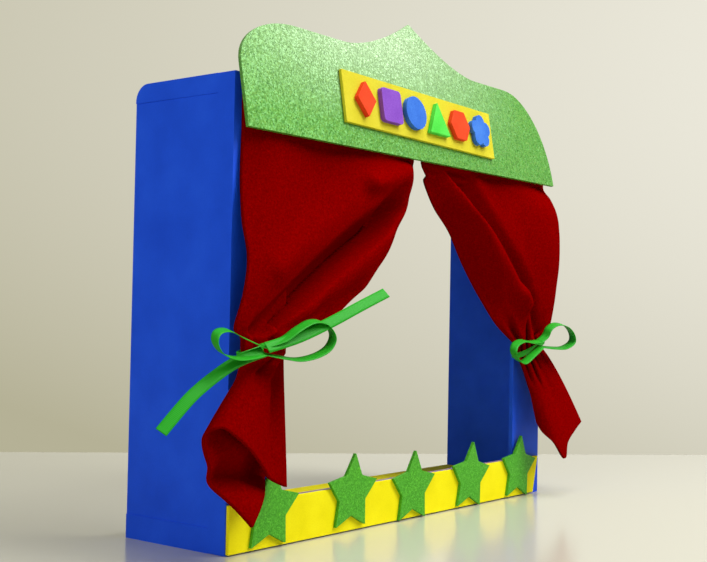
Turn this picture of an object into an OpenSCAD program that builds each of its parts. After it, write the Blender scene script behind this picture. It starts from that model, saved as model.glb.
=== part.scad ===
// Toy theatre made from a cardboard carton covered in blue paper, with a raised
// stage, tied felt curtains and a glitter foam pediment.
// +X runs along the front, +Y to the open back, +Z up. The origin is on the
// underside, at the middle of the carton. Everything is in millimetres.

/* [Carton] */
// Width of the covered carton
box_w = 306; // [280:1:340]
// Depth of the covered carton
box_d = 73; // [60:1:100]
// Height of the covered carton
box_h = 240; // [225:1:260]
// Thickness of the carton board
board_t = 2; // [1.5:0.1:3]
// Outside radius of a fold in the board
fold_r = 1.6; // [0.8:0.1:2]
// Thickness of the blue paper
paper_t = 0.4; // [0.2:0.05:0.6]
// Radius of the soft roll at the roof's rear edge
rear_round = 9; // [5:0.5:14]

/* [Window] */
// Board left at each side of the stage window
side_margin = 34; // [26:1:44]
// Board left under the stage window
sill_h = 25; // [21:1:30]
// Board left above the stage window
lintel_h = 24; // [16:1:28]
// Radius of the window's cut corners
window_r = 1.2; // [0.5:0.1:4]

/* [Paper flaps] */
// Depth of the top paper's flap down each side
top_flap = 10; // [6:0.5:20]
// Height of the bottom paper's flap up each side
bottom_flap = 12.5; // [6:0.5:20]
// Width of the front paper's flap round each corner
corner_flap = 12; // [6:0.5:20]

/* [Stage] */
// Height of the stage floor's top
stage_z = 12; // [9:0.5:18]
// Thickness of the craft foam
foam_t = 2; // [1.5:0.1:3]
// Pitch of the riser board's flutes
flute_pitch = 8; // [6:0.5:10]
// Thickness of the riser board's facing sheets
liner_t = 0.8; // [0.6:0.1:1]

/* [Stars] */
// Distance from a star's centre to its tips
star_r = 22; // [16:0.5:22.5]
// Distance from a star's centre to the notches between its points
star_notch_r = 12; // [8:0.1:13]
// Distance from one star to the next
star_pitch = 61; // [52:1:62]
// Height of the stars' lower tips
star_foot = 1.7; // [1.5:0.1:5]

/* [Pediment] */
// Height of the pediment's bottom edge
ped_z = 211; // [200:1:214]
// Angle at which the pediment leans back
ped_lean = 10.5; // [6:0.5:12]
// Height of the shoulders above the bottom edge, along the foam
shoulder_h = 61; // [52:1:66]
// Height of the pointed crest above the shoulders
crest_h = 24; // [14:1:30]
// Half width of the crest's hollow sides
crest_half = 66; // [50:1:80]
// Width of the round left shoulder
left_round = 46; // [30:1:60]
// Width of the round right shoulder
right_round = 50; // [30:1:60]

/* [Sign] */
// Length of the sign board
sign_w = 151; // [130:1:170]
// Height of the sign board
sign_h = 30; // [26:1:34]
// Height of the sign's middle above the pediment's bottom edge
sign_up = 26.5; // [22:0.5:32]
// Tilt of the sign
sign_tilt = -1.2; // [-4:0.1:4]
// Foam left free at each end of the row of shapes
sign_end = 5.3; // [3:0.1:9]
// Gap from one shape to the next
shape_gap = 2.4; // [1.4:0.1:4]
// Thickness of the shapes
shape_t = 3; // [2:0.5:5]

/* [Curtains] */
// Thickness of the felt
felt_t = 1.8; // [1:0.1:2.2]
// Height of the left bundle, where its ribbon is
left_tie_z = 103.5; // [90:0.5:120]
// Distance of the left bundle's middle from the carton's side
left_tie_in = 17; // [12:0.5:30]
// Height of the right bundle
right_tie_z = 100; // [90:0.5:120]
// Distance of the right bundle's middle from the carton's side
right_tie_in = 27; // [12:0.5:36]
// Half the width of a tied bundle
tie_half = 20; // [18:0.5:24]
// Depth of the pleats in a bundle, either side of its middle
pleat_a = 3.8; // [2:0.1:4.2]
// Room left between the felt and what lies beside it
felt_gap = 0.3; // [0.2:0.05:0.5]

/* [Ribbons] */
// Width of the ribbon
ribbon_w = 6; // [4:0.5:8]
// Thickness of the ribbon
ribbon_t = 0.6; // [0.4:0.1:1]

/* [Hidden] */

front_y = -box_d / 2;
board_w = box_w - 2 * paper_t;
board_h = box_h - 2 * paper_t;
board_front_y = front_y + paper_t;
wall_in = paper_t + board_t;
room_w = box_w - 2 * (wall_in + paper_t);
floor_z = stage_z - foam_t;
panel_back_y = front_y + wall_in + paper_t;
window_w = box_w - 2 * side_margin;
window_top = box_h - lintel_h;
star_count = 5;
star_lean = [-1, -2, -1, -4, -4];
star_slip = [-2.4, 3.5, 0.6, 1.7, 0];
star_lift = [0.4, 1.8, -1.2, -0.6, -0.6];
star_skew = 0.06;
// The sill strip is cut at a slant on the right, and clears the table
strip_cut = [3, 9];
strip_gap = 0.7;
shape_count = 6;
shape_pitch = (sign_w - 2 * sign_end) / shape_count;
shape_h = shape_pitch - shape_gap;
// The pediment's back meets the felt at the carton's top edge.
ped_top_gap = felt_t + 2 * felt_gap;
ped_back_y = front_y - ped_top_gap - (box_h - ped_z) * tan(ped_lean);
// The bundle's middle, in front of the carton: its ribbon passes behind it.
band_r = pleat_a + felt_t / 2 + 1.5;
bundle_f = felt_gap + ribbon_t + band_r;
cinch = ribbon_w / 2 + 1.2;
band_ease = 0.5;
sheet_cols = 24;
drape_rows = 13;
tail_rows = 6;

// The curtains' places are in from the carton's side, up, and forward of its front.
// They were drawn for this half width and these ties, and their edges follow the real ones.
drawn_half = 153;
left_drawn_tie = [17, 103.5];
right_drawn_tie = [27, 100];
left_outer = [[0.5, ped_z], [-1, 185], [0, 165], [3.6, 148], [1, 128], [-2.6, 112]];
left_inner = [[148, ped_z], [142, 197], [138, 184], [124, 165], [109, 148], [88, 132], [60, 117]];
right_outer = [[1, ped_z], [-2, 190], [-2, 175], [-1, 150], [1, 130], [5, 112]];
right_inner = [[153, ped_z], [147, 203], [136, 186], [120, 169], [103, 150], [86, 132], [68, 112]];
// Forward of the front at the pediment's edge, and lift of the outer edge on its way down
left_head = [1.2, 5.5, 5, 2.2, 2.4, 5.5, 6.2, 5, 2];
right_head = [1.2, 5, 5.5, 4, 2.2, 5, 6.2, 5, 1.5];
left_lift = [0, 0, 1.5, 4, 5, 4, 2, 0];
right_lift = [0, 8, 13, 13, 10, 7, 4, 0];
// The crease, where the upper felt drops behind the lip of the lower fold
left_crease = [[146, 190], [131, 181], [99.5, 171], [76, 157.5], [51, 142], [25, 123.5], [4, 108]];
right_crease = [[130, 212], [115, 197], [106, 188], [85, 175], [67, 160], [47, 146], [39, 136],
                [32, 112]];
// Its width at both ends, its drop, its lip, the roll of the inner edge, and the lip's run
left_step = [17, 9, 12, 3, 5, 10];
right_step = [26, 14, 10, 3, 9, 10];
// Each soft fold: from (in, z), to (in, z), depth and half width.
left_folds = [
    [66, 206, 126, 200, 7, 10],
    [116, 194, 6, 124, 10, 17],
    [124, 172, 20, 108, 5, 13],
    [92, 138, 27, 104, -6, 7]];
right_folds = [
    [112, 204, 34, 122, 10, 16],
    [50, 140, 40, 108, 4, 6],
    [30, 134, 16, 108, -5, 6]];
// The hem from its outer corner to its inner one.
left_hem = [[29, 6.2, 38], [9, 9.5, 15], [-7, 8, 31], [-24, 11, 49], [-33, 18, 62],
            [-33, 27, 67], [-23, 31, 61], [-5, 28, 46], [20, 19, 33]];
right_hem = [[-34, 15, 47], [-16, 20, 43], [4, 25, 36], [11, 27, 26],
             [17, 23, 34], [22, 17, 42], [16, 10, 50], [2, 9, 48]];
left_tie_turn = 1;
right_tie_turn = 16;

// The bows' paths, from their knots: along the front, forward and up.
left_loop_a = [[0, 0, 1.5], [-18, 2, 7], [-32, 4, 11], [-40, 5, 9], [-42, 6, 4],
               [-38, 7, -1], [-27, 6, -4], [-13, 3, -4], [0, 1, -2]];
left_loop_b = [[0, 0, 1.5], [11, 4, 5], [19, 6, 10], [29, 7, 14], [38, 8, 13],
               [43, 9, 7], [40, 9, 1], [32, 8, -3], [21, 6, -5], [11, 4, -4], [0, 1, -2]];
left_tail_a = [[0, 1, -1], [-18, 2, -5], [-32, 2, -11], [-48, 1, -21], [-65, 0, -36]];
left_tail_b = [[0, 3, 1], [20, 6, 6], [42, 9, 14], [62, 11, 22], [84, 12, 30]];
right_loop_a = [[0, 0, 1.5], [-13, 1, 1], [-28, 3, 2], [-39, 4, -1], [-41, 5, -7],
                [-29, 4, -12], [-14, 3, -7], [0, 1, -2]];
right_loop_b = [[0, 0, 1.5], [6, 1, 5], [9, 2, 10], [17, 3, 13], [28, 4, 12],
                [37, 4, 7], [38, 4, 1], [28, 3, -3], [13, 2, -3], [0, 1, -2]];
left_knot = [-11, -1.5];
right_knot = [-1, 3];
ribbon_face = [0, -0.5, 0.86];

function clamp01(t) = min(1, max(0, t));
function ease(t) = let (c = clamp01(t)) c * c * (3 - 2 * c);
function unit(v) = v / max(norm(v), 1e-6);
function mix(a, b, t) = a + (b - a) * t;

// A smooth curve through points, at t from 0 to 1
function through(pts, t) =
    let (n = len(pts) - 1, s = clamp01(t) * n, i = min(n - 1, floor(s)), r = s - i,
         a = pts[max(0, i - 1)], b = pts[i], c = pts[i + 1], d = pts[min(n, i + 2)])
    0.5 * (2 * b + (c - a) * r + (2 * a - 5 * b + 4 * c - d) * r * r
           + (3 * b - a - 3 * c + d) * r * r * r);

// Depth of one fold at a point of the drape
function fold_depth(f, p) =
    let (a = [f[0], f[1]], b = [f[2], f[3]], ab = b - a,
         t = (p - a) * ab / (ab * ab), tc = clamp01(t), away = norm(p - (a + ab * tc)),
         w = f[5] * mix(1, 0.5, tc))
    f[4] * ease((t + 0.12) / 0.3) * exp(-pow(away / w, 2));

function fold_sum(folds, p) =
    let (d = [for (f = folds) fold_depth(f, p)]) d * [for (f = folds) 1];

// Signed distance from a crease, positive above it, and the share of its length
function crease_near(line, p) =
    let (found = [for (k = [0:len(line) - 2])
            let (a = line[k], ab = line[k + 1] - a, t = clamp01((p - a) * ab / (ab * ab)),
                 away = p - a - ab * t)
            [norm(away), ab[0] * away[1] > ab[1] * away[0] ? -1 : 1, (k + t) / (len(line) - 1)]],
         least = min([for (f = found) f[0]]),
         nearest = [for (f = found) if (f[0] == least) f][0])
    [nearest[0] * nearest[1], nearest[2]];

// Depth of the crease: the upper felt drops, and the lower fold rises to a lip
function crease_depth(line, step, p) =
    let (near = crease_near(line, p), d = near[0], t = near[1],
         strength = ease(t / 0.16) * mix(1, 0.75, t), drop = step[2] * strength, lip = step[3] * strength)
    d > 0 ? -drop * (1 - ease(d / mix(step[0], step[1], t)))
    : d > -step[5] ? mix(-drop, lip, ease(-d / step[5])) : lip * (1 - ease((-d - step[5]) / 26));

// An edge's points, moved in step with the tie they lead to
function led_to(edge, drawn_tie, tie) =
    let (shift = [tie[0], tie[1]] - drawn_tie)
    [for (k = [0:len(edge) - 1]) edge[k] + shift * k / len(edge)];

// A point of the tied bundle: in, forward, up. It is straight under its ribbon,
// and up is the distance above or below the ribbon's middle.
function bundle_point(u, tie, up) =
    let (h = (2 * u - 1) * (tie_half - felt_t / 2), turn = tie[2])
    [tie[0] + h * cos(turn) + up * sin(turn),
     bundle_f + pleat_a * sin(360 * 3 * u),
     tie[1] - h * sin(turn) + up * cos(turn)];

function spread(u, s) = (box_w / 2 - drawn_half) * u * (1 - s);

function head_depth(head, u) = through([for (h = head) [h]], u)[0];

// A point of the drape between the header and the bundle
function drape_point(u, s, c, tie) =
    let (end = bundle_point(1, tie, cinch), start = bundle_point(0, tie, cinch),
         outer = concat(led_to(c[0], c[2], tie), [[start[0], start[2]]]),
         inner = concat(led_to(c[1], c[2], tie), [[end[0], end[2]]]),
         p = mix(through(outer, s), through(inner, s), u),
         held = ease((s - 0.6) / 0.4),
         belly = 5 * sin(180 * s) * sin(180 * min(1, 0.15 + 0.85 * u)),
         roll = -c[6][4] * ease((u - 0.8) / 0.2) * sin(180 * s),
         lift = head_depth(c[4], s) * (1 - ease(u / 0.35)),
         free = (1 - pow(s, 6)) * ease(s / 0.08),
         slack = mix(head_depth(c[3], u), bundle_f, ease(s)),
         forward = mix(slack, bundle_point(u, tie, cinch)[1], held)
                   + (belly + roll + lift + fold_sum(c[7], p) + crease_depth(c[5], c[6], p)) * free)
    [p[0] + spread(u, s), max(felt_gap + felt_t / 2, forward), p[1]];

// A point of the header, flat on the carton under the pediment
function header_point(u, s, c) =
    let (flat = felt_gap + felt_t / 2)
    [mix(c[0][0][0], c[1][0][0], u) + spread(u, 0),
     mix(flat, head_depth(c[3], u), ease(2 * s - 1)),
     mix(box_h - 2, ped_z, s)];

// A point of the tail that hangs from the bundle
function tail_point(u, r, tie, hem) =
    let (top = bundle_point(u, tie, -cinch), low = through(hem, u), out = pow(r, 0.8))
    [mix(top[0], low[0], out),
     mix(mix(top[1], bundle_f, ease(r * 1.6)), low[1], out),
     mix(top[2], low[2], r)];

// Rows of the whole sheet, from the header to the hem
function sheet_rows(c, tie, hem) =
    concat(
        [for (j = [0:1]) [for (i = [0:sheet_cols]) header_point(i / sheet_cols, j / 2, c)]],
        [for (j = [0:drape_rows])
            [for (i = [0:sheet_cols]) drape_point(i / sheet_cols, j / drape_rows, c, tie)]],
        [for (j = [0:tail_rows])
            [for (i = [0:sheet_cols]) tail_point(i / sheet_cols, j / tail_rows, tie, hem)]]);

function sheet_normal(g, j, i) =
    let (m = len(g) - 1, n = len(g[0]) - 1,
         du = g[j][min(n, i + 1)] - g[j][max(0, i - 1)],
         dv = g[min(m, j + 1)][i] - g[max(0, j - 1)][i])
    unit(cross(du, dv));

// A sheet of even thickness over a grid of points
module sheet_solid(g, t) {
    m = len(g);
    n = len(g[0]);
    normals = [for (j = [0:m - 1]) [for (i = [0:n - 1]) sheet_normal(g, j, i)]];
    near = [for (j = [0:m - 1]) for (i = [0:n - 1]) g[j][i] + normals[j][i] * t / 2];
    far = [for (j = [0:m - 1]) for (i = [0:n - 1]) g[j][i] - normals[j][i] * t / 2];
    back = m * n;
    faces_near = [for (j = [0:m - 2]) for (i = [0:n - 2])
        each [[j * n + i, j * n + i + 1, (j + 1) * n + i + 1],
              [j * n + i, (j + 1) * n + i + 1, (j + 1) * n + i]]];
    faces_far = [for (f = faces_near) [f[2] + back, f[1] + back, f[0] + back]];
    rim = concat([for (i = [0:n - 1]) i],
                 [for (j = [1:m - 1]) j * n + n - 1],
                 [for (i = [n - 2:-1:0]) (m - 1) * n + i],
                 [for (j = [m - 2:-1:1]) j * n]);
    faces_rim = [for (k = [0:len(rim) - 1])
        let (a = rim[k], b = rim[(k + 1) % len(rim)])
        each [[b, a, a + back], [b, a + back, b + back]]];
    polyhedron(concat(near, far), concat(faces_near, faces_far, faces_rim));
}

// A curtain on one side: -1 is the left, 1 the right. Its cloth is the list of
// outer edge, inner edge, drawn tie, head, lift, crease, step and folds.
module curtain(side, cloth, tie, hem) {
    rows = sheet_rows(cloth, tie, hem);
    placed = [for (row = rows) [for (p = row) [side * (box_w / 2 - p[0]), front_y - p[1], p[2]]]];
    turned = side > 0 ? [for (row = placed) [for (i = [sheet_cols:-1:0]) row[i]]] : placed;
    sheet_solid(turned, felt_t);
}

// A flat ribbon along a path, with its face turned towards one direction
module ribbon_strip(path, steps, face) {
    pts = [for (k = [0:steps]) through(path, k / steps)];
    along = [for (k = [0:steps]) unit(pts[min(steps, k + 1)] - pts[max(0, k - 1)])];
    across = [for (t = along) unit(cross(t, face))];
    ring = [for (k = [0:steps])
        let (w = across[k] * ribbon_w / 2, n = unit(cross(across[k], along[k])) * ribbon_t / 2)
        each [pts[k] + w + n, pts[k] - w + n, pts[k] - w - n, pts[k] + w - n]];
    sides = [for (k = [0:steps - 1]) for (c = [0:3])
        let (a = 4 * k + c, b = 4 * k + (c + 1) % 4)
        each [[a, b + 4, a + 4], [a, b, b + 4]]];
    last = 4 * steps;
    caps = [[2, 1, 0], [3, 2, 0], [last, last + 1, last + 2], [last, last + 2, last + 3]];
    polyhedron(ring, concat(sides, caps));
}

// An outline with straight middle and round ends
module stadium(half, r) {
    square([2 * (half - r), 2 * r], center = true);
    for (s = [-1, 1]) translate([s * (half - r), 0]) circle(r, $fn = 40);
}

// The ribbon round a bundle, its knot, and the bow in front
module ribbon(side, tie, knot, loops, tails) {
    mid_x = side * (box_w / 2 - tie[0]);
    mid_y = front_y - bundle_f;
    band_front = band_r + ribbon_t;
    translate([mid_x, mid_y, tie[1]]) {
        rotate([0, -side * tie[2], 0])
            linear_extrude(ribbon_w, center = true)
                difference() {
                    stadium(tie_half + band_ease + ribbon_t, band_r + ribbon_t);
                    stadium(tie_half + band_ease, band_r);
                }
        translate([knot[0], -band_front + 0.2, knot[1]]) {
            rotate([90, 0, 0]) cylinder(h = 4.6, r = 3.8, $fn = 10);
            translate([0, -2.4, 0]) {
                for (path = loops)
                    ribbon_strip([for (p = path) [p[0], -p[1], p[2]]], 22, ribbon_face);
                for (path = tails)
                    ribbon_strip([for (p = path) [p[0], -p[1], p[2]]], 10, ribbon_face);
            }
        }
    }
}

module rounded(w, h, r) {
    square([w - 2 * r, h], center = true);
    square([w, h - 2 * r], center = true);
    for (x = [-1, 1]) for (y = [-1, 1])
        translate([x * (w / 2 - r), y * (h / 2 - r)]) circle(r, $fn = 32);
}

// The clear outline of the stage window, or a larger one
module window(more = 0) {
    translate([0, (sill_h + window_top) / 2])
        rounded(window_w + 2 * more, window_top - sill_h + 2 * more, window_r + more);
}

// The window in the board: paper lines its edge, except along the sill
module window_cut() {
    window();
    intersection() {
        window(paper_t);
        translate([-box_w / 2, sill_h + 2]) square([box_w, box_h]);
    }
}

// Stands a drawing up on the front, from y towards the viewer
module upright(y, t) {
    translate([0, y, 0]) rotate([90, 0, 0]) linear_extrude(t) children();
}

// Carries a drawing of the side (back, up) across the carton's width
module across(w, x = 0) {
    translate([x, 0, 0]) rotate([90, 0, 90]) linear_extrude(w, center = true) children();
}

// The carton's side at a depth under its skin, with the rolled rear edge of the roof
module side_profile(inset) {
    hull() {
        translate([front_y, 0]) square([box_d - rear_round, box_h - inset]);
        translate([box_d / 2 - rear_round, box_h - rear_round]) circle(rear_round - inset, $fn = 64);
    }
    translate([front_y, 0]) square([box_d, box_h - rear_round]);
}

// One layer of the roof, down to the end of its rolled edge
module roof_layer(inset, from_y) {
    difference() {
        side_profile(inset);
        side_profile(inset + paper_t);
        translate([front_y - 1, -1]) square([box_d + 2, box_h - rear_round + 1]);
        translate([front_y - 1, 0]) square([from_y - front_y + 1, box_h]);
    }
}

// The room inside the board, open at the back
module room_profile() {
    intersection() {
        union() {
            side_profile(wall_in);
            square([box_d, box_h - rear_round]);
        }
        translate([board_front_y + board_t, wall_in]) square([2 * box_d, box_h]);
    }
}

// One folded board: open back, window cut in the front
module carton() {
    color("burlywood")
    difference() {
        intersection() {
            upright(box_d / 2, box_d - paper_t)
                translate([0, box_h / 2]) rounded(board_w, board_h, fold_r);
            across(box_w) side_profile(paper_t);
        }
        across(board_w - 2 * board_t) room_profile();
        upright(0, box_d) window_cut();
    }
}

// Blue paper on the front, round the window's cut edge and round each corner
module cover_front() {
    color("royalblue") {
        upright(board_front_y, paper_t)
            difference() {
                translate([0, box_h / 2]) square([box_w + 2 * paper_t, board_h], center = true);
                window();
            }
        upright(panel_back_y, board_t + paper_t)
            difference() {
                window_cut();
                window();
            }
        for (s = [-1, 1])
            translate([s * (box_w / 2 + paper_t / 2), front_y + corner_flap / 2, box_h / 2])
                cube([paper_t, corner_flap, board_h], center = true);
    }
}

// Blue paper on one side wall, under the flaps
module side_cover(s) {
    color("royalblue")
        intersection() {
            translate([s * (box_w / 2 - paper_t / 2), paper_t / 2, box_h / 2])
                cube([paper_t, box_d - paper_t, board_h - 2 * fold_r], center = true);
            across(2 * paper_t, s * box_w / 2) side_profile(paper_t);
        }
}

// Blue paper over the top, with a flap down each side
module cover_top() {
    color("royalblue") {
        across(box_w) roof_layer(0, front_y);
        intersection() {
            side_flaps(box_h - top_flap, top_flap);
            across(2 * box_w) side_profile(0);
        }
    }
}

// Blue paper under the bottom, with a flap up each side
module cover_bottom() {
    color("royalblue") {
        translate([-box_w / 2, front_y, 0]) cube([box_w, box_d, paper_t]);
        side_flaps(0, bottom_flap);
    }
}

module side_flaps(z, flap) {
    for (s = [-1, 1])
        translate([s > 0 ? box_w / 2 : -box_w / 2 - paper_t, front_y + corner_flap, z])
            cube([paper_t, box_d - corner_flap, flap]);
}

// Blue paper on the back of the front panel
module lining_front() {
    color("mediumblue")
        upright(board_front_y + board_t + paper_t, paper_t)
            difference() {
                translate([0, (box_h - wall_in + floor_z) / 2])
                    square([box_w - 2 * wall_in, box_h - wall_in - floor_z], center = true);
                window_cut();
            }
}

module side_lining(s) {
    color("mediumblue")
        intersection() {
            translate([s * (box_w / 2 - wall_in - paper_t / 2) - paper_t / 2, panel_back_y, floor_z])
                cube([paper_t, box_d / 2 - panel_back_y, box_h - floor_z]);
            across(box_w) side_profile(wall_in + paper_t);
        }
}

module lining_top() {
    color("mediumblue") across(box_w - 2 * wall_in) roof_layer(wall_in, panel_back_y);
}

// Corrugated board under the stage, with its flutes running front to back
module stage_riser() {
    riser_w = box_w - 2 * wall_in;
    riser_h = floor_z - wall_in;
    open_h = riser_h - 2 * liner_t;
    count = floor(riser_w / flute_pitch);
    web = liner_t;
    color("tan")
    translate([0, box_d / 2, wall_in])
        rotate([90, 0, 0]) linear_extrude(box_d / 2 - board_front_y - board_t)
            difference() {
                translate([-riser_w / 2, 0]) square([riser_w, riser_h]);
                for (i = [0:count - 1])
                    translate([(i - (count - 1) / 2) * flute_pitch, riser_h / 2])
                        flute(flute_pitch - web, open_h, i % 2 == 0 ? 1 : -1);
            }
}

// One open flute: wide at one side and narrow at the other
module flute(w, h, up) {
    wide = w * 0.86;
    narrow = w * 0.3;
    polygon([[-wide / 2, -up * h / 2], [wide / 2, -up * h / 2],
             [narrow / 2, up * h / 2], [-narrow / 2, up * h / 2]]);
}

module stage_floor() {
    color("yellow")
        translate([-room_w / 2, panel_back_y, floor_z])
            cube([room_w, box_d / 2 - panel_back_y, foam_t]);
}

// Yellow foam across the sill
module sill_strip() {
    color("yellow")
        upright(front_y, foam_t)
            polygon([[-box_w / 2, strip_gap], [box_w / 2 - strip_cut[1], strip_gap],
                     [box_w / 2 - strip_cut[0], sill_h], [-box_w / 2, sill_h]]);
}

// A star cut by hand: its top leans a little
module star_outline(r, notch, lean) {
    polygon([for (k = [0:9])
        let (a = 90 + lean + 36 * k, d = k % 2 == 0 ? r : notch)
        [d * (cos(a) + star_skew * sin(a)), d * sin(a)]]);
}

// Green glitter star on the sill, rising above it
module star(i) {
    color("limegreen")
        upright(front_y - foam_t, foam_t)
            translate([(i - (star_count + 1) / 2) * star_pitch + star_slip[i - 1],
                       star_foot + star_lift[i - 1] + star_r * cos(36)])
                star_outline(star_r, star_notch_r, star_lean[i - 1]);
}

// The crest's side: hollow, rising to the point
function crest(x) = crest_h * pow(clamp01(1 - abs(x) / crest_half), 1.6);

// Height of the pediment's outline at a distance along the front
function ped_height(x) =
    let (half = box_w / 2, left = clamp01((x + half) / left_round),
         right = clamp01((half - x) / right_round),
         round_l = mix(0.56, 1, sqrt(1 - pow(1 - left, 2))),
         round_r = sqrt(1 - pow(1 - right, 2)))
    (shoulder_h + crest(x)) * min(round_l, round_r);

module pediment_outline() {
    steps = 18;
    xs = concat(
        [for (k = [0:steps]) -box_w / 2 + left_round * (1 - cos(90 * k / steps))],
        [for (k = [1:steps]) mix(-box_w / 2 + left_round, 0, k / steps)],
        [for (k = [1:steps]) mix(0, box_w / 2 - right_round, k / steps)],
        [for (k = [1:steps - 1]) box_w / 2 - right_round * (1 - sin(90 * k / steps))]);
    polygon(concat([for (x = xs) [x, ped_height(x)]], [[box_w / 2, 0], [-box_w / 2, 0]]));
}

// Moves flat foam pieces onto the leaning pediment, at a distance from its back
module on_pediment(up) {
    translate([0, ped_back_y, ped_z]) rotate([90 - ped_lean, 0, 0])
        translate([0, 0, up]) children();
}

module pediment() {
    color("lightgreen") on_pediment(0) linear_extrude(foam_t) pediment_outline();
}

module sign_place(up) {
    on_pediment(up) translate([0, sign_up, 0]) rotate(sign_tilt) children();
}

module sign_board() {
    color("gold")
        sign_place(foam_t) linear_extrude(foam_t) square([sign_w, sign_h], center = true);
}

// Plain foam shapes: lozenge, tile, disc, triangle, hexagon, flower
module shape_outline(i) {
    r = shape_h / 2;
    if (i == 1) polygon([[0, r], [r * 0.8, 0], [0, -r], [-r * 0.8, 0]]);
    if (i == 2) rounded(shape_h * 0.86, shape_h * 0.94, 2.4);
    if (i == 3) circle(r * 0.94, $fn = 48);
    if (i == 4) polygon([[-r, -r * 0.9], [r, -r * 0.9], [0, r]]);
    if (i == 5) circle(r, $fn = 6);
    if (i == 6) {
        circle(r * 0.5, $fn = 32);
        for (k = [0:4]) rotate(72 * k) translate([0, r * 0.56]) circle(r * 0.44, $fn = 32);
    }
}

module sign_shape(i, hue) {
    color(hue)
        sign_place(2 * foam_t)
            translate([(i - (shape_count + 1) / 2) * shape_pitch, 0, 0])
                linear_extrude(shape_t) shape_outline(i);
}

module curtain_left() {
    color("firebrick")
        curtain(-1, [left_outer, left_inner, left_drawn_tie, left_head, left_lift,
                     left_crease, left_step, left_folds],
                [left_tie_in, left_tie_z, left_tie_turn], left_hem);
}

module curtain_right() {
    color("firebrick")
        curtain(1, [right_outer, right_inner, right_drawn_tie, right_head, right_lift,
                    right_crease, right_step, right_folds],
                [right_tie_in, right_tie_z, right_tie_turn], right_hem);
}

module ribbon_left() {
    color("mediumseagreen")
        ribbon(-1, [left_tie_in, left_tie_z, left_tie_turn], left_knot,
               [left_loop_a, left_loop_b], [left_tail_a, left_tail_b]);
}

module ribbon_right() {
    color("mediumseagreen")
        ribbon(1, [right_tie_in, right_tie_z, right_tie_turn], right_knot,
               [right_loop_a, right_loop_b], []);
}

carton();
cover_front();
side_cover(-1);  // cover_left
side_cover(1);  // cover_right
cover_top();
cover_bottom();
lining_front();
side_lining(-1);  // lining_left
side_lining(1);  // lining_right
lining_top();
stage_riser();
stage_floor();
sill_strip();
pediment();
sign_board();
curtain_left();
curtain_right();
ribbon_left();
ribbon_right();
star(1);  // star_1
star(2);  // star_2
star(3);  // star_3
star(4);  // star_4
star(5);  // star_5
sign_shape(1, "tomato");  // sign_shape_1
sign_shape(2, "mediumpurple");  // sign_shape_2
sign_shape(3, "dodgerblue");  // sign_shape_3
sign_shape(4, "lime");  // sign_shape_4
sign_shape(5, "orangered");  // sign_shape_5
sign_shape(6, "cornflowerblue");  // sign_shape_6
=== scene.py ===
import math

import bpy
import bmesh
from mathutils import Matrix, Vector


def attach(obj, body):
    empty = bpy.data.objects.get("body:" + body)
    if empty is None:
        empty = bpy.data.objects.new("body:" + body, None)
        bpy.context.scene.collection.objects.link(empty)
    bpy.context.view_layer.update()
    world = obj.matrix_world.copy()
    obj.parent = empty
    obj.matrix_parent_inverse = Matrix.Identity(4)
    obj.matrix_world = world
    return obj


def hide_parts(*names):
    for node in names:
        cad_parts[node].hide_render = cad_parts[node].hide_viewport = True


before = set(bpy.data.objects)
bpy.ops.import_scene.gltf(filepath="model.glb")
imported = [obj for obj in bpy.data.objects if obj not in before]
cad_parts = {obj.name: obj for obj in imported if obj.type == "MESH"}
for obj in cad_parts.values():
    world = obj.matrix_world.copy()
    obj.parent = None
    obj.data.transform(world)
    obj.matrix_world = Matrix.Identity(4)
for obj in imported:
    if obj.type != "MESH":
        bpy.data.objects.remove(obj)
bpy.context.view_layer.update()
mm = 0.001


# camera: the place fitted to the photo, to the left at half the carton's height; mm, degrees, pixels and metres
cameraSetup = {
    "place": (-572.1, -445.8, 119.8),
    "yaw": 38.408,
    "pitch": 1.638,
    "roll": 1.087,
    "focal": 1181.3,
    "imageWidth": 707,
    "sensor": 36,
    "clip": (0.01, 20),
}


def aimAxes(setup):
    yaw, pitch, roll = (math.radians(setup[k]) for k in ("yaw", "pitch", "roll"))
    ahead = Vector((math.cos(pitch) * math.cos(yaw), math.cos(pitch) * math.sin(yaw), math.sin(pitch)))
    right = ahead.cross(Vector((0, 0, 1))).normalized()
    up = right.cross(ahead)
    return ahead, right * math.cos(roll) + up * math.sin(roll), up * math.cos(roll) - right * math.sin(roll)


def placeCamera(setup):
    ahead, right, up = aimAxes(setup)
    data = bpy.data.cameras.new("photoCamera")
    data.sensor_fit = "HORIZONTAL"
    data.sensor_width = setup["sensor"]
    data.lens = setup["focal"] / setup["imageWidth"] * setup["sensor"]
    data.clip_start, data.clip_end = setup["clip"]
    camera = bpy.data.objects.new("photoCamera", data)
    turn = Matrix((right, up, -ahead)).transposed().to_4x4()
    camera.matrix_world = Matrix.Translation(Vector(setup["place"]) * mm) @ turn
    bpy.context.scene.collection.objects.link(camera)
    bpy.context.scene.camera = camera


placeCamera(cameraSetup)
bpy.context.scene.view_settings.view_transform = "Standard"
print("camera stands where the photo was taken")


# helpers for colours, nodes and curves
def hexColour(code):
    parts = [int(code[i:i + 2], 16) / 255 for i in (1, 3, 5)]
    linear = [c / 12.92 if c <= 0.04045 else ((c + 0.055) / 1.055) ** 2.4 for c in parts]
    return (*linear, 1)


def addNode(tree, kind, settings=None, links=None):
    node = tree.nodes.new(kind)
    for key, value in (settings or {}).items():
        if key == "stops":
            while len(node.color_ramp.elements) < len(value):
                node.color_ramp.elements.new(0.5)
            for stop, (place, code) in zip(node.color_ramp.elements, value):
                stop.position = place
                stop.color = hexColour(code)
        elif isinstance(key, int) or key in node.inputs:
            node.inputs[key].default_value = value
        else:
            setattr(node, key, value)
    for key, source in (links or {}).items():
        tree.links.new(source, node.inputs[key])
    return node


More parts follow.
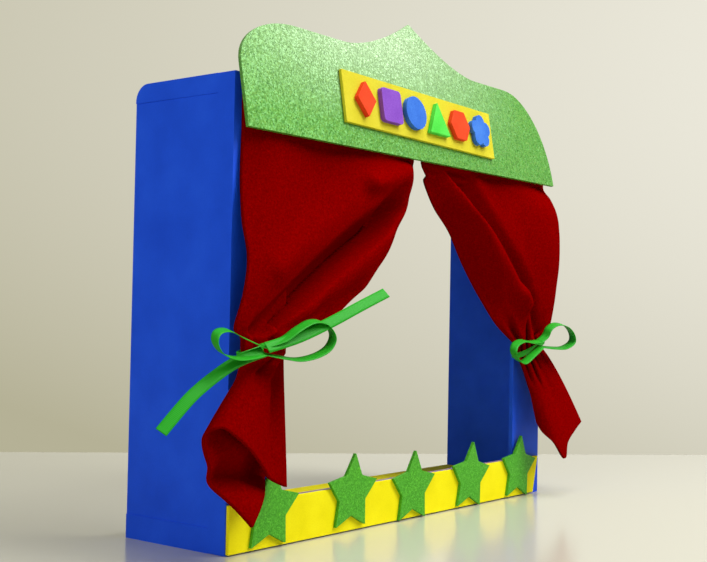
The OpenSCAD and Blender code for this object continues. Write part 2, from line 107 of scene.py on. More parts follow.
def newFinish(name):
    material = bpy.data.materials.new(name)
    material.use_nodes = True
    material.node_tree.nodes.clear()
    return material, material.node_tree


def closeFinish(tree, shader):
    addNode(tree, "ShaderNodeOutputMaterial", links={"Surface": shader.outputs[0]})


def clamp(t, low=0.0, high=1.0):
    return max(low, min(high, t))


def ease(t):
    t = clamp(t)
    return t * t * (3 - 2 * t)


def mix(a, b, t):
    return a + (b - a) * t


def through(points, t):
    count = len(points) - 1
    s = clamp(t) * count
    i = min(count - 1, int(s))
    r = s - i
    a, b, c, d = (Vector(points[max(0, min(count, i + k))]) for k in (-1, 0, 1, 2))
    return 0.5 * (2 * b + (c - a) * r + (2 * a - 5 * b + 4 * c - d) * r * r
                  + (3 * b - a - 3 * c + d) * r ** 3)


def level(values, t):
    return through([(v, 0, 0) for v in values], t)[0]


# studio: a pale table, a beige wall far behind it, three soft lamps
studioSetup = {
    "edgeFrom": (0.0205, 0.3962),
    "edgeTo": (0.4608, -0.0355),
    "tableDeep": 3.0,
    "tableHalf": 3.0,
    "table": "#C9C6B4",
    "wall": "#EEEBDE",
    "wallPaintedShade": "#B5B196",
    # painted light on the wall: the tone where it is palest, how fast it falls into painted shade from there, and the
    # height of that place
    "wallMiddle": 0.65,
    "wallFall": 3.9,
    "wallPalest": 0.23,
    "sky": "#FFFFFF",
    "skyLevel": 0.12,
}
# metres and watts; all three face the middle of the stage
lampTarget = (0.0, -0.02, 0.12)
lampSetup = [
    # name, place, size, power
    ("overheadSoftbox", (0.16, -0.34, 1.22), 0.8, 10.0),
    ("rightSoftbox", (0.50, -0.90, 1.05), 0.8, 15.5),
    ("leftSoftbox", (-1.15, -0.20, 0.75), 0.9, 5.2),
]


def makeTable(setup):
    # its far edge passes through two points measured on the photo
    start, end = (Vector((*setup[k], 0)) for k in ("edgeFrom", "edgeTo"))
    along = (end - start).normalized()
    near = Vector((along.y, -along.x, 0))
    shape = bmesh.new()
    bmesh.ops.create_grid(shape, x_segments=1, y_segments=1, size=1)
    for vert in shape.verts:
        deep = setup["tableDeep"] if vert.co.y < 0 else 0
        vert.co = start + along * (vert.co.x * setup["tableHalf"]) + near * deep
    bmesh.ops.recalc_face_normals(shape, faces=shape.faces)
    mesh = bpy.data.meshes.new("whiteTable")
    shape.to_mesh(mesh)
    shape.free()
    table = bpy.data.objects.new("whiteTable", mesh)
    bpy.context.scene.collection.objects.link(table)
    # gloss-lacquered board: pale, with a soft mirror image near the object
    material, tree = newFinish("lacqueredBoard")
    shader = addNode(tree, "ShaderNodeBsdfPrincipled",
                     {"Base Color": hexColour(setup["table"]), "Roughness": 0.18, "IOR": 1.5})
    closeFinish(tree, shader)
    mesh.materials.append(material)


def makeWall(setup):
    world = bpy.data.worlds.new("studioRoom")
    world.use_nodes = True
    tree = world.node_tree
    tree.nodes.clear()
    coord = addNode(tree, "ShaderNodeTexCoord")
    # painted light and shade on the wall: it grows paler to the right of the picture, and darker the further down it
    # is
    right = aimAxes(cameraSetup)[1]
    aside = addNode(tree, "ShaderNodeVectorMath", {"operation": "DOT_PRODUCT", 1: (right.x, right.y, 0)},
                    {0: coord.outputs["Generated"]})
    height = addNode(tree, "ShaderNodeSeparateXYZ", links={0: coord.outputs["Generated"]})
    below = addNode(tree, "ShaderNodeMath", {"operation": "SUBTRACT", 0: setup["wallPalest"]},
                    {1: height.outputs["Z"]})
    fall = addNode(tree, "ShaderNodeMath", {"operation": "MULTIPLY"}, {0: below.outputs[0], 1: below.outputs[0]})
    tone = addNode(tree, "ShaderNodeMath",
                   {"operation": "MULTIPLY_ADD", 1: -setup["wallFall"], 2: setup["wallMiddle"]}, {0: fall.outputs[0]})
    rise = addNode(tree, "ShaderNodeMath", {"operation": "ADD"}, {0: tone.outputs[0], 1: aside.outputs["Value"]})
    wall = addNode(tree, "ShaderNodeValToRGB",
                   {"stops": [(0.0, setup["wallPaintedShade"]), (1.0, setup["wall"])]}, {"Fac": rise.outputs[0]})
    seen = addNode(tree, "ShaderNodeBackground", {"Strength": 1.0}, {"Color": wall.outputs[0]})
    light = addNode(tree, "ShaderNodeBackground",
                    {"Color": hexColour(setup["sky"]), "Strength": setup["skyLevel"]})
    path = addNode(tree, "ShaderNodeLightPath")
    either = addNode(tree, "ShaderNodeMath", {"operation": "MAXIMUM"},
                     {0: path.outputs["Is Camera Ray"], 1: path.outputs["Is Glossy Ray"]})
    blend = addNode(tree, "ShaderNodeMixShader",
                    links={0: either.outputs[0], 1: light.outputs[0], 2: seen.outputs[0]})
    addNode(tree, "ShaderNodeOutputWorld", links={"Surface": blend.outputs[0]})
    bpy.context.scene.world = world


def hangLamps(lamps, target):
    for name, place, size, power in lamps:
        data = bpy.data.lights.new(name, "AREA")
        data.shape = "DISK"
        data.size = size
        data.energy = power
        lamp = bpy.data.objects.new(name, data)
        aim = (Vector(target) - Vector(place)).to_track_quat("-Z", "Y")
        lamp.matrix_world = Matrix.Translation(Vector(place)) @ aim.to_matrix().to_4x4()
        bpy.context.scene.collection.objects.link(lamp)


makeTable(studioSetup)
makeWall(studioSetup)
hangLamps(lampSetup, lampTarget)
print("table, wall and lamps are up")


# finishes
def bluePaper():
    # glazed craft paper, pasted on the carton: even royal blue with faint paste blotches and a low satin gloss
    material, tree = newFinish("bluePaper")
    coord = addNode(tree, "ShaderNodeTexCoord").outputs["Object"]
    # paste blotches about 25 mm wide
    blotch = addNode(tree, "ShaderNodeTexNoise", {"Scale": 40.0, "Detail": 3.0, "Roughness": 0.5}, {"Vector": coord})
    # paper fibre about 0.4 mm long, drawn at 0.8 mm so that it shows
    fibre = addNode(tree, "ShaderNodeTexNoise", {"Scale": 1250.0, "Detail": 2.0}, {"Vector": coord})
    both = addNode(tree, "ShaderNodeMix", {"data_type": "FLOAT", "Factor": 0.22},
                   {2: blotch.outputs["Fac"], 3: fibre.outputs["Fac"]})
    colour = addNode(tree, "ShaderNodeValToRGB",
                     {"stops": [(0.3, "#124EE4"), (0.55, "#1A57F1"), (0.75, "#2360F8")]}, {"Fac": both.outputs[0]})
    bump = addNode(tree, "ShaderNodeBump", {"Strength": 0.35, "Distance": 0.00025}, {"Height": both.outputs[0]})
    shader = addNode(tree, "ShaderNodeBsdfPrincipled",
                     {"Roughness": 0.5, "IOR": 1.45, "Specular IOR Level": 0.22},
                     {"Base Color": colour.outputs[0], "Normal": bump.outputs[0]})
    closeFinish(tree, shader)
    return material


def kraftBoard():
    # unbleached kraft board: brown fibres, quite matt
    material, tree = newFinish("kraftBoard")
    coord = addNode(tree, "ShaderNodeTexCoord").outputs["Object"]
    squeeze = addNode(tree, "ShaderNodeMapping", {"Scale": (260.0, 900.0, 900.0)}, {"Vector": coord})
    fibre = addNode(tree, "ShaderNodeTexNoise", {"Scale": 1.0, "Detail": 4.0}, {"Vector": squeeze.outputs[0]})
    colour = addNode(tree, "ShaderNodeValToRGB",
                     {"stops": [(0.3, "#8F6B43"), (0.5, "#AE8658"), (0.7, "#C49C6B")]}, {"Fac": fibre.outputs["Fac"]})
    bump = addNode(tree, "ShaderNodeBump", {"Strength": 0.4, "Distance": 0.0002}, {"Height": fibre.outputs["Fac"]})
    shader = addNode(tree, "ShaderNodeBsdfPrincipled", {"Roughness": 0.85, "Specular IOR Level": 0.2},
                     {"Base Color": colour.outputs[0], "Normal": bump.outputs[0]})
    closeFinish(tree, shader)
    return material


def craftFoam(name, dark, main, pale):
    # EVA craft foam, cut from a skinned sheet: soft matt colour with fine closed pores
    material, tree = newFinish(name)
    coord = addNode(tree, "ShaderNodeTexCoord").outputs["Object"]
    # pores about 0.3 mm, drawn at 0.7 mm
    pore = addNode(tree, "ShaderNodeTexNoise", {"Scale": 1400.0, "Detail": 2.0}, {"Vector": coord})
    patch = addNode(tree, "ShaderNodeTexNoise", {"Scale": 70.0, "Detail": 2.0}, {"Vector": coord})
    both = addNode(tree, "ShaderNodeMix", {"data_type": "FLOAT", "Factor": 0.45},
                   {2: patch.outputs["Fac"], 3: pore.outputs["Fac"]})
    colour = addNode(tree, "ShaderNodeValToRGB", {"stops": [(0.3, dark), (0.5, main), (0.72, pale)]},
                     {"Fac": both.outputs[0]})
    bump = addNode(tree, "ShaderNodeBump", {"Strength": 0.3, "Distance": 0.00015}, {"Height": pore.outputs["Fac"]})
    shader = addNode(tree, "ShaderNodeBsdfPrincipled",
                     {"Roughness": 0.7, "IOR": 1.48, "Specular IOR Level": 0.12},
                     {"Base Color": colour.outputs[0], "Normal": bump.outputs[0]})
    closeFinish(tree, shader)
    return material


# a painted highlight: a paler patch near the crest and left of the middle, standing in for the lamps' sheen on the
# leaning glitter; in metres
crestPaintedHighlight = {"middle": -0.04, "sides": (0.16, 0.03), "heights": (0.222, 0.275), "share": 0.62, "colour": "#B9D2AC"}


def glitterFoam(name, grain, tones, metal, rough, tilt, patch=None):
    # EVA foam with metallised polyester flakes set in lacquer: each flake has its own tone and tilt
    material, tree = newFinish(name)
    coord = addNode(tree, "ShaderNodeTexCoord").outputs["Object"]
    flake = addNode(tree, "ShaderNodeTexVoronoi", {"Scale": 1 / grain}, {"Vector": coord})
    clump = addNode(tree, "ShaderNodeTexNoise", {"Scale": 0.22 / grain, "Detail": 2.0}, {"Vector": coord})
    tone = addNode(tree, "ShaderNodeSeparateColor", links={0: flake.outputs["Color"]})
    both = addNode(tree, "ShaderNodeMix", {"data_type": "FLOAT", "Factor": 0.4},
                   {2: tone.outputs[0], 3: clump.outputs["Fac"]})
    colour = addNode(tree, "ShaderNodeValToRGB", {"stops": list(zip((0.12, 0.42, 0.7, 0.88), tones))},
                     {"Fac": both.outputs[0]})
    paint = colour.outputs[0]
    if patch:
        # the painted highlight fades out to both sides and lower down
        (far, near), (low, high) = patch["sides"], patch["heights"]
        place = addNode(tree, "ShaderNodeSeparateXYZ", links={0: coord})
        shifted = addNode(tree, "ShaderNodeMath", {"operation": "ADD", 1: -patch["middle"]},
                          {0: place.outputs["X"]})
        sideways = addNode(tree, "ShaderNodeMath", {"operation": "ABSOLUTE"}, {0: shifted.outputs[0]})
        inward = addNode(tree, "ShaderNodeMapRange", {"From Min": far, "From Max": near},
                         {"Value": sideways.outputs[0]})
        upward = addNode(tree, "ShaderNodeMapRange", {"From Min": low, "From Max": high},
                         {"Value": place.outputs["Z"]})
        product = addNode(tree, "ShaderNodeMath", {"operation": "MULTIPLY"},
                          {0: inward.outputs[0], 1: upward.outputs[0]})
        share = addNode(tree, "ShaderNodeMath", {"operation": "MULTIPLY", 1: patch["share"]},
                        {0: product.outputs[0]})
        paint = addNode(tree, "ShaderNodeMix", {"data_type": "RGBA", 7: hexColour(patch["colour"])},
                        {0: share.outputs[0], 6: paint}).outputs[2]
    lean = addNode(tree, "ShaderNodeVectorMath", {"operation": "SUBTRACT", 1: (0.5, 0.5, 0.5)},
                   {0: flake.outputs["Color"]})
    scaled = addNode(tree, "ShaderNodeVectorMath", {"operation": "SCALE", "Scale": tilt}, {0: lean.outputs[0]})
    face = addNode(tree, "ShaderNodeNewGeometry")
    tipped = addNode(tree, "ShaderNodeVectorMath", {"operation": "ADD"},
                     {0: face.outputs["Normal"], 1: scaled.outputs[0]})
    normal = addNode(tree, "ShaderNodeVectorMath", {"operation": "NORMALIZE"}, {0: tipped.outputs[0]})
    shader = addNode(tree, "ShaderNodeBsdfPrincipled",
                     {"Metallic": metal, "Roughness": rough, "IOR": 1.5},
                     {"Base Color": paint, "Normal": normal.outputs[0]})
    closeFinish(tree, shader)
    return material


def redFelt():
    # pressed acrylic felt: tangled matt fibres with a short fuzz that catches light at grazing angles
    material, tree = newFinish("redFelt")
    coord = addNode(tree, "ShaderNodeTexCoord").outputs["Object"]
    # fibre clumps about 1.2 mm across, single fibres drawn at 0.5 mm
    clump = addNode(tree, "ShaderNodeTexNoise", {"Scale": 820.0, "Detail": 3.0, "Roughness": 0.6}, {"Vector": coord})
    fibre = addNode(tree, "ShaderNodeTexNoise", {"Scale": 2000.0, "Detail": 2.0, "Distortion": 1.2},
                    {"Vector": coord})
    both = addNode(tree, "ShaderNodeMix", {"data_type": "FLOAT", "Factor": 0.4},
                   {2: clump.outputs["Fac"], 3: fibre.outputs["Fac"]})
    colour = addNode(tree, "ShaderNodeValToRGB",
                     {"stops": [(0.32, "#640000"), (0.5, "#790000"), (0.68, "#8C0201")]}, {"Fac": both.outputs[0]})
    bump = addNode(tree, "ShaderNodeBump", {"Strength": 0.6, "Distance": 0.0004}, {"Height": both.outputs[0]})
    shader = addNode(tree, "ShaderNodeBsdfPrincipled",
                     {"Roughness": 0.95, "Specular IOR Level": 0.0, "Sheen Weight": 0.03, "Sheen Roughness": 0.5,
                      "Sheen Tint": hexColour("#C00804")},
                     {"Base Color": colour.outputs[0], "Normal": bump.outputs[0]})
    closeFinish(tree, shader)
    return material


def greenRibbon():
    # woven polyester satin, 6 mm, with close ribs across; its gloss is low, so it lacks the photo's bright streaks
    material, tree = newFinish("greenRibbon")
    uv = addNode(tree, "ShaderNodeUVMap", {"uv_map": "strip"}).outputs[0]
    # ribs 0.6 mm apart; the map is in metres along and across the strip
    ribs = addNode(tree, "ShaderNodeTexWave", {"Scale": 530.0, "Distortion": 0.4, "bands_direction": "X"},
                   {"Vector": uv})
    colour = addNode(tree, "ShaderNodeValToRGB", {"stops": [(0.1, "#1C9018"), (0.8, "#2BA824")]},
                     {"Fac": ribs.outputs["Fac"]})
    bump = addNode(tree, "ShaderNodeBump", {"Strength": 0.25, "Distance": 0.00008}, {"Height": ribs.outputs["Fac"]})
    shader = addNode(tree, "ShaderNodeBsdfPrincipled",
                     {"Roughness": 0.5, "Anisotropic": 0.3, "Specular IOR Level": 0.15, "IOR": 1.5},
                     {"Base Color": colour.outputs[0], "Normal": bump.outputs[0]})
    closeFinish(tree, shader)
    return material


finishes = {
    "paper": bluePaper(),
    "board": kraftBoard(),
    "yellow": craftFoam("yellowFoam", "#EEE000", "#F8EA08", "#FFF41A"),
    # the sign's yellow foam: a darker copy of the strip's yellow, painted shade for the extra lamp light the leaning
    # sign gets, with its own slightly less saturated tint
    "signYellowShaded": craftFoam("signFoamShaded", "#C8BD1C", "#D0C528", "#D7CE37"),
    "pediment": glitterFoam("paleGlitterFoam", 0.0008, ("#317913", "#438F20", "#589C2E", "#75B144"),
                            metal=0.25, rough=0.45, tilt=0.55, patch=crestPaintedHighlight),
    "star": glitterFoam("greenGlitterFoam", 0.0006, ("#359406", "#3E9E06", "#48AB0A", "#62C418"),
                        metal=0.1, rough=0.55, tilt=0.35),
    "red": craftFoam("redFoam", "#D43511", "#E14016", "#E74C24"),
    "purple": craftFoam("purpleFoam", "#743CAC", "#834CBB", "#955DC6"),
    "blue": craftFoam("blueFoam", "#2A61C3", "#3770D0", "#4882DA"),
    "bright": craftFoam("brightGreenFoam", "#40C63B", "#51D648", "#67E15B"),
    "felt": redFelt(),
    "ribbon": greenRibbon(),
}
print("finishes are mixed")


# pieces that keep their CAD shape: finish, and the width of the soft edge in mm
edgeSetup = {"weld": 0.00001, "segments": 3, "angle": 40}
nodeFinish = {
    "carton": ("board", 0.0), "stage_riser": ("board", 0.0),
    "cover_front": ("paper", 0.0), "cover_left": ("paper", 0.0), "cover_right": ("paper", 0.0),
    "cover_top": ("paper", 0.0), "cover_bottom": ("paper", 0.0),
    "lining_front": ("paper", 0.0), "lining_left": ("paper", 0.0), "lining_right": ("paper", 0.0),
    "lining_top": ("paper", 0.0),
    "stage_floor": ("yellow", 0.25), "sill_strip": ("yellow", 0.35), "sign_board": ("signYellowShaded", 0.35),
    "pediment": ("pediment", 0.35),
    "sign_shape_1": ("red", 0.6), "sign_shape_2": ("purple", 0.6), "sign_shape_3": ("blue", 0.6),
    "sign_shape_4": ("bright", 0.6), "sign_shape_5": ("red", 0.6), "sign_shape_6": ("blue", 0.6),
}
nodeFinish.update({"star_%d" % i: ("star", 0.35) for i in range(1, 6)})


def dressNode(name, finish, rounding):
    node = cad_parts[name]
    node.data.materials.clear()
    node.data.materials.append(finishes[finish])
    if rounding:
        weld = node.modifiers.new("weldCorners", "WELD")
        weld.merge_threshold = edgeSetup["weld"]
        soft = node.modifiers.new("softEdge", "BEVEL")
        soft.width = rounding * mm
        soft.segments = edgeSetup["segments"]
        soft.limit_method = "ANGLE"
        soft.angle_limit = math.radians(edgeSetup["angle"])


for nodeName, (finishName, roundness) in nodeFinish.items():
    dressNode(nodeName, finishName, roundness)
print("foam, board and paper are dressed")


def addPiece(name, shape, finish):
    mesh = bpy.data.meshes.new(name)
    shape.to_mesh(mesh)
    shape.free()
    mesh.materials.append(finishes[finish])
    for face in mesh.polygons:
        face.use_smooth = True
    piece = bpy.data.objects.new(name, mesh)
    bpy.context.scene.collection.objects.link(piece)
    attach(piece, "root")
    return piece


def thicken(piece, name, thick):
    # half of it to each side of the sheet
    shell = piece.modifiers.new(name, "SOLIDIFY")
    shell.thickness = thick * mm
    shell.offset = 0


# felt curtains: glued at the top, drawn aside and tied, with a hanging tail; in mm
boxWide, frontY, pedimentZ = 306.0, -36.5, 211.0
feltSetup = {
    # ribbonRoom is kept behind the bundle, bandRoom round it, and tiedRoom above and below the ribbon
    "thick": 1.8, "gap": 0.3, "tieHalf": 20.0, "pleat": 3.8, "pleats": 4.5, "lean": 1.3,
    "ribbonWide": 6.0, "ribbonRoom": 0.6, "bandRoom": 1.5, "tiedRoom": 0.6, "columns": 150, "rows": 230,
    # shares of the felt's run, and how high the glued header reaches
    "header": 0.11, "drape": 0.64, "tied": 0.67, "headerTop": 238,
    # the crease: pieces it is cut into, share over which it deepens, width of the climb from the drop to the lip,
    # how far the lip fades out below it, and the flank's slope up to its bend and round after it
    "parts": 18, "deepens": 0.12, "climb": 2.5, "lipFade": 26,
    "flankBend": 0.8, "flankSlope": 0.9, "flankRound": 0.36,
    # a fold starts a little before its first point, comes in over a share of its length, and narrows
    "foldLead": 0.12, "foldRise": 0.3, "foldNarrow": 0.5,
    # shares of the drape's run: where it starts to gather, over how much, and how soon it is free of the header
    "gatherFrom": 0.68, "gatherOver": 0.32, "freeOver": 0.08,
    # shares of the felt's width: the rolled inner edge, the lifted outer edge, where creases and folds fade at the
    # two edges, and the part of the belly's arch that the outer edge starts at
    "rollFrom": 0.8, "rollOver": 0.2, "liftOver": 0.35, "innerFade": 0.14, "outerFade": 0.16, "bellyFrom": 0.15,
    # inside the window the felt may sag back this far, from here inwards and from here down
    "sag": -19.0, "windowSide": 38, "windowTop": 205, "sagFade": 10,
    # the tail: how fast the pleats open, powers of its valley and spread, share of the hem that runs straight
    "opens": 2.4, "valleyPower": 0.6, "spreadPower": 0.8, "straight": 0.12,
}
bandRadius = feltSetup["pleat"] + feltSetup["thick"] / 2 + feltSetup["bandRoom"]
bundleOut = feltSetup["gap"] + feltSetup["ribbonRoom"] + bandRadius
cinch = feltSetup["ribbonWide"] / 2 + feltSetup["tiedRoom"]
# tie: in from the carton's side, up, and degrees of turn; cut: the flat felt in metres
# outer, inner and crease: points in and up; head and outerLift: distances out from the carton's front
# folds: from one point to another, depth, width; hem and corner: points in, out and up
# tailFold: middle, width, depth; dent: height, reach, depth, share of the width that has it, and its fade
leftCurtain = {
    "name": "feltCurtainLeft", "node": "curtain_left", "side": -1,
    "tie": (17.0, 103.5, 1.0), "cut": (0.150, 0.245),
    "outer": [(4.5, 211), (3, 185), (1.5, 165), (2.5, 148), (-1, 128), (-5, 112)],
    "inner": [(149, 211), (145, 202), (144, 192), (141, 181), (125.5, 164), (111, 148.5), (97.5, 134), (74, 119)],
    "head": [1.2, 4.5, 3.5, 1.4, 1.4, 3.5, 6.2, 5.0, 2.0],
    "outerLift": [0, 0, 1.5, 3, 4, 3, 1, 0],
    "crease": [(162, 190), (142, 183.5), (121, 172), (92, 157), (67, 142), (42, 126.5), (18, 111), (0, 99)],
    "flank": (22, 11), "drop": 26.0, "fade": 0.5, "lip": 3.0, "under": 0.3,
    "roll": 1.0, "belly": 2.0, "edgeShare": 0.0,
    "folds": [(146, 204, 100, 193, 6, 10), (108, 196, 24, 142, 4, 16), (124, 168, 20, 108, 6, 13),
              (92, 134, 27, 104, -6, 8)],
    "corner": (29, 6.2, 39),
    "hem": [(-3, 20, 17.2), (-16.6, 16.5, 32.8), (-27.6, 14.5, 49.5), (-32, 16, 62), (-26, 21, 66.2),
            (-17, 22, 61.5), (-5.6, 21, 53.9), (5, 18.5, 45.6), (15, 15, 38.1), (30, 12, 32.3)],
    "tailFold": (0.9, 0.06, -5.0), "dent": (42, 9, 10, 0.22, 0.1),
}
rightCurtain = {
    "name": "feltCurtainRight", "node": "curtain_right", "side": 1,
    "tie": (27.0, 100.0, 16.0), "cut": (0.148, 0.231),
    "outer": [(1, 211), (0, 190), (0, 175), (0, 150), (1, 130), (5, 112)],
    "inner": [(147, 211), (140, 203), (127, 186), (108, 169), (91.5, 150), (77, 132), (62, 114)],
    "head": [1.2, 4.0, 5.0, 3.0, 1.6, 4.0, 6.2, 5.0, 1.5],
    "outerLift": [0, 9, 10, 9, 6, 4, 2, 0],
    "crease": [(128, 212), (113, 196), (104, 186), (84, 172), (66, 156), (48, 141), (40, 130), (32, 112)],
    "flank": (30, 16), "drop": 20.0, "fade": 0.8, "lip": 2.2, "under": 0.45,
    "roll": 9.0, "belly": 4.0, "edgeShare": 1.0,
    "folds": [(118, 194, 46, 128, 5, 10), (50, 140, 40, 108, 4, 6), (30, 134, 16, 108, -5, 6)],
    "corner": None,
    "hem": [(-34, 15, 47), (-16, 20, 43), (4, 25, 36), (11, 27, 26), (18, 23, 36), (22, 17, 43), (22, 12, 50)],
    "tailFold": (0.3, 0.06, -2.0), "dent": None,
}


def besideCrease(line, p):
    # signed distance from the crease, positive on its upper side, with the way along it and the way up
    found = None
    for k, (a, b) in enumerate(zip(line, line[1:])):
        along = b - a
        t = clamp((p - a).dot(along) / along.dot(along))
        away = (p - a - along * t).length
        if found is None or away < found[0]:
            found = (away, -1 if along.cross(p - a) > 0 else 1, (k + t) / (len(line) - 1),
                     Vector((along.y, -along.x)).normalized())
    away, side, t, upward = found
    return away * side, t, upward


def flankShare(x):
    # an even slope that rounds off at its far end
    if x < feltSetup["flankBend"]:
        return 1 - x / feltSetup["flankSlope"]
    return max(0, 1 - x) ** 2 / feltSetup["flankRound"]


def creaseStep(curtain, p):
    # above the crease the felt drops back; below it a lip stands out and leans up over the drop
    d, t, upward = besideCrease(curtain["creaseLine"], p)
    strength = ease(t / feltSetup["deepens"])
    drop = curtain["drop"] * strength * mix(1.0, curtain["fade"], t)
    lip = curtain["lip"] * strength * (1 + t)
    if d > 0:
        step = -drop * flankShare(d / mix(*curtain["flank"], t))
    elif d > -feltSetup["climb"]:
        step = mix(-drop, lip, ease(-d / feltSetup["climb"]))
    else:
        step = lip * (1 - ease((-d - feltSetup["climb"]) / feltSetup["lipFade"]))
    return step, upward * (max(0, step) * curtain["under"])


def foldDepth(fold, p):
    a, b = Vector(fold[0:2]), Vector(fold[2:4])
    line = b - a
    t = (p - a).dot(line) / line.dot(line)
    along = clamp(t)
    away = (p - (a + line * along)).length
    comesIn = ease((t + feltSetup["foldLead"]) / feltSetup["foldRise"])
    return fold[4] * comesIn * math.exp(-(away / (fold[5] * mix(1, feltSetup["foldNarrow"], along))) ** 2)


def bundlePoint(curtain, u, up, gathered=1.0):
    # across the tied bundle, whose pleats lean over one another; up is measured from the tie
    full = 1 - abs(2 * u - 1) ** 3
    wave = feltSetup["pleat"] * math.sin(2 * math.pi * feltSetup["pleats"] * u) * gathered * full
    half = feltSetup["tieHalf"] - feltSetup["thick"] / 2 - feltSetup["lean"] * feltSetup["pleat"]
    along = (2 * u - 1) * half + feltSetup["lean"] * wave
    turn = math.radians(curtain["tie"][2])
    return Vector((curtain["tie"][0] + along * math.cos(turn) + up * math.sin(turn),
                   bundleOut + wave, curtain["tie"][1] - along * math.sin(turn) + up * math.cos(turn)))


def hemPoint(curtain, u):
    # a straight run from a hidden corner to the tip, then the rolled part
    hem, corner, share = curtain["hem"], curtain["corner"], feltSetup["straight"]
    if corner is None:
        return through(hem, u)
    if u < share:
        return Vector(corner).lerp(Vector(hem[0]), u / share)
    return through(hem, (u - share) / (1 - share))


def feltPoint(curtain, u, v):
    # v runs down the felt: header, drape, the short tied part, tail
    close = feltSetup["gap"] + feltSetup["thick"] / 2
    head, drape, tied = feltSetup["header"], feltSetup["drape"], feltSetup["tied"]
    outer, inner = curtain["outer"], curtain["inner"]
    if v < head:
        s = v / head
        return Vector((mix(outer[0][0], inner[0][0], u), mix(close, level(curtain["head"], u), ease(s * 2 - 1)),
                       mix(feltSetup["headerTop"], pedimentZ, s)))
    if v < drape:
        s = (v - head) / (drape - head)
        held = ease((s - feltSetup["gatherFrom"]) / feltSetup["gatherOver"])
        start, end = bundlePoint(curtain, 0, cinch), bundlePoint(curtain, 1, cinch)
        outEdge = through(outer + [(start[0], start[2])], s)
        inEdge = through(inner + [(end[0], end[2])], s)
        p = outEdge.lerp(inEdge, u)
        tieHere = bundlePoint(curtain, u, cinch)
        spread = mix(start[0], end[0], u)
        p.x += (tieHere[0] - spread) * held
        arch = math.sin(math.pi * s)
        belly = curtain["belly"] * arch * math.sin(math.pi * min(1, mix(feltSetup["bellyFrom"], 1, u)))
        roll = -curtain["roll"] * ease((u - feltSetup["rollFrom"]) / feltSetup["rollOver"]) * arch
        lift = level(curtain["outerLift"], s) * (1 - ease(u / feltSetup["liftOver"]))
        folds = sum(foldDepth(f, p) for f in curtain["folds"])
        step, slip = creaseStep(curtain, p)
        free = (1 - s ** 6) * ease(s / feltSetup["freeOver"])
        shallow = mix(curtain["edgeShare"], 1, ease((1 - u) / feltSetup["innerFade"]))
        out = mix(mix(level(curtain["head"], u), bundleOut, ease(s)), tieHere[1], held)
        out += (belly + roll + lift + (folds + step * shallow) * ease(u / feltSetup["outerFade"])) * free
        p += slip * (free * shallow)
        inWindow = (ease((p.x - feltSetup["windowSide"]) / feltSetup["sagFade"])
                    * ease((feltSetup["windowTop"] - p.y) / feltSetup["sagFade"]))
        return Vector((p.x, max(mix(close, feltSetup["sag"], inWindow), out), p.y))
    if v < tied:
        return bundlePoint(curtain, u, mix(cinch, -cinch, (v - drape) / (tied - drape)))
    r = (v - tied) / (1 - tied)
    top = bundlePoint(curtain, u, -cinch, 1 - ease(r * feltSetup["opens"]))
    low = hemPoint(curtain, u)
    middle, wide, depth = curtain["tailFold"]
    valley = depth * math.exp(-((u - middle) / wide) ** 2) * math.sin(math.pi * r ** feltSetup["valleyPower"])
    spread = r ** feltSetup["spreadPower"]
    out, z = mix(top[1], low[1], spread) + valley, mix(top[2], low[2], r)
    if curtain["dent"]:
        # the felt turns here from the lit corner into the dark roll
        height, reach, depth, end, fade = curtain["dent"]
        dent = math.exp(-((z - height) / reach) ** 2) * (1 - ease((u - end) / fade)) * depth
        out = max(close, out - dent)
    return Vector((mix(top[0], low[0], spread), out, z))


def hangCurtain(curtain):
    line = [(*p, 0) for p in curtain["crease"]]
    parts = feltSetup["parts"]
    curtain["creaseLine"] = [through(line, k / parts).to_2d() for k in range(parts + 1)]
    shape = bmesh.new()
    bmesh.ops.create_grid(shape, x_segments=feltSetup["columns"], y_segments=feltSetup["rows"], size=0.5)
    for vert in shape.verts:
        inward, out, up = feltPoint(curtain, vert.co.x + 0.5, 0.5 - vert.co.y)
        vert.co = Vector((curtain["side"] * (boxWide / 2 - inward), frontY - out, up)) * mm
    if curtain["side"] > 0:
        bmesh.ops.reverse_faces(shape, faces=shape.faces)
    piece = addPiece(curtain["name"], shape, "felt")
    thicken(piece, "feltThickness", feltSetup["thick"])
    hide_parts(curtain["node"])


hangCurtain(leftCurtain)
hangCurtain(rightCurtain)
print("curtains hang")


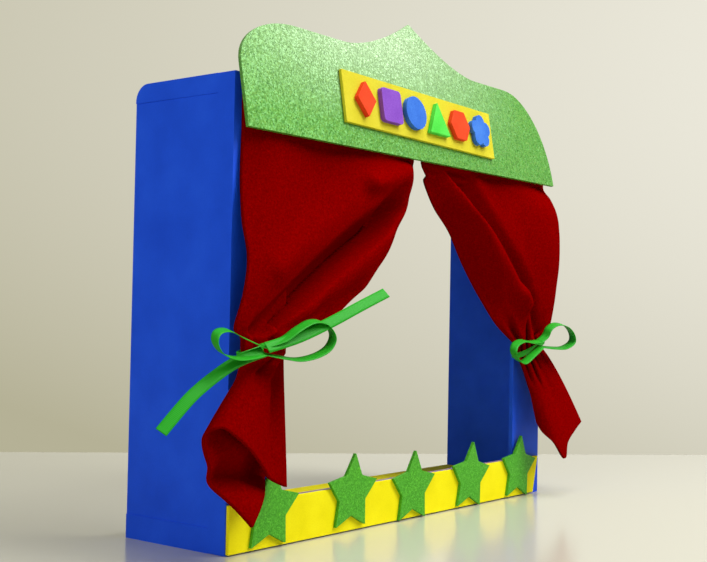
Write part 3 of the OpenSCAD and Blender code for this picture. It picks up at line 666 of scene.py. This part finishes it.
# ribbons: a band round each bundle, a knot and a bow
ribbonSetup = {
    # in mm; probe: share of a strip's length over which its direction is read
    "wide": 6.0, "thick": 0.3, "steps": 90, "rows": 4, "probe": 0.004,
    # the band's share of the strip's width, how far it cuts into the felt's sides, and the power of its oval
    "bandShare": 0.6, "bandSunk": 1.2, "bandOval": 0.6, "knotOut": 3.0,
    # a loop's fixed width direction, and the way a tail's face looks
    "loopWide": Vector((0.12, 0.94, 0.3)).normalized(), "tailFace": Vector((-0.62, -0.68, 0.38)).normalized(),
    # knot: across and up from the tie; tilt: degrees; sunk: how far the band is pulled into the pleats
    # strips: points across, out and up from the knot
    "left": {
        "side": -1, "tie": leftCurtain["tie"], "knot": (-11, -1.5), "tilt": -16, "sunk": 2.8,
        "strips": {
            "loopFar": [(0, 0, 1.5), (-16, 2, 6), (-28, 4, 9.5), (-36, 5, 8.5), (-38.5, 6, 4), (-35, 7, -1),
                        (-25, 6, -3.5), (-12, 3, -3.5), (0, 1, -2)],
            "loopNear": [(0, 0, 1.5), (11, 4, 5), (19, 6, 10), (29, 7, 14), (38, 8, 13), (43, 9, 7), (40, 9, 1),
                         (32, 8, -3), (21, 6, -5), (11, 4, -4), (0, 1, -2)],
            "tailFar": [(0, 1, -1), (-18, 2, -5), (-32, 2, -11), (-48, 1, -21), (-65, 0, -36)],
            "tailNear": [(0, 3, 1), (20, 6, 6), (42, 9, 14), (62, 11, 22), (84, 12, 30)],
        },
    },
    "right": {
        "side": 1, "tie": rightCurtain["tie"], "knot": (-1, 3), "tilt": 0, "sunk": 1.2,
        "strips": {
            "loopFar": [(0, 0, 1.5), (-13, 1, 1), (-28, 3, 2), (-39, 4, -1), (-41, 5, -7), (-29, 4, -12),
                        (-14, 3, -7), (0, 1, -2)],
            "loopNear": [(0, 0, 1.5), (6, 1, 5), (9, 2, 10), (17, 3, 13), (28, 4, 12), (37, 4, 7), (38, 4, 1),
                         (28, 3, -3), (13, 2, -3), (0, 1, -2)],
        },
    },
}


def addStrip(shape, path, wayAt, wide):
    # one flat strip along a path, as a grid whose long side follows it
    steps, probe = ribbonSetup["steps"], ribbonSetup["probe"]
    strip = bmesh.new()
    bmesh.ops.create_grid(strip, x_segments=steps, y_segments=ribbonSetup["rows"], size=0.5)
    uvLayer = strip.loops.layers.uv.new("strip")
    length = sum((path((k + 1) / steps) - path(k / steps)).length for k in range(steps))
    for face in strip.faces:
        for corner in face.loops:
            corner[uvLayer].uv = ((corner.vert.co.x + 0.5) * length, corner.vert.co.y * wide)
    for vert in strip.verts:
        t, across = vert.co.x + 0.5, vert.co.y
        along = (path(min(1, t + probe)) - path(max(0, t - probe))).normalized()
        vert.co = path(t) + wayAt(along) * (across * wide)
    mesh = bpy.data.meshes.new("strip")
    strip.to_mesh(mesh)
    strip.free()
    shape.from_mesh(mesh)
    bpy.data.meshes.remove(mesh)


def tieRibbon(name, setup, node):
    side, tie = setup["side"], setup["tie"]
    middle = Vector((side * (boxWide / 2 - tie[0]), frontY - bundleOut, tie[1]))
    lean = Matrix.Rotation(math.radians(-side * tie[2]), 3, "Y")
    half, deep = feltSetup["tieHalf"] - ribbonSetup["bandSunk"], bandRadius - setup["sunk"]
    wide = ribbonSetup["wide"] * mm
    tilt = lean @ Matrix.Rotation(math.radians(setup["tilt"]), 3, "Y")
    upright = tilt @ Vector((0, 0, 1))

    def band(t):
        # an oval pulled tight into the pleats
        a = 2 * math.pi * t
        across, out = math.cos(a), math.sin(a)
        oval = math.copysign(abs(out) ** ribbonSetup["bandOval"], out)
        return (middle + tilt @ Vector((half * across, -deep * oval, 0))) * mm

    shape = bmesh.new()
    addStrip(shape, band, lambda along: upright, ribbonSetup["wide"] * ribbonSetup["bandShare"] * mm)
    knot = middle + Vector((setup["knot"][0], -(bandRadius + ribbonSetup["knotOut"]), setup["knot"][1]))
    for part, points in setup["strips"].items():
        def path(t, points=points):
            p = through(points, t)
            return (knot + Vector((p[0], -p[1], p[2]))) * mm
        if part.startswith("loop"):
            addStrip(shape, path, lambda along: ribbonSetup["loopWide"], wide)
        else:
            addStrip(shape, path, lambda along: along.cross(ribbonSetup["tailFace"]).normalized(), wide)
    bmesh.ops.recalc_face_normals(shape, faces=shape.faces)
    piece = addPiece(name, shape, "ribbon")
    thicken(piece, "ribbonThickness", ribbonSetup["thick"])
    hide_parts(node)


tieRibbon("ribbonBowLeft", ribbonSetup["left"], "ribbon_left")
tieRibbon("ribbonBowRight", ribbonSetup["right"], "ribbon_right")
print("ribbons are tied")
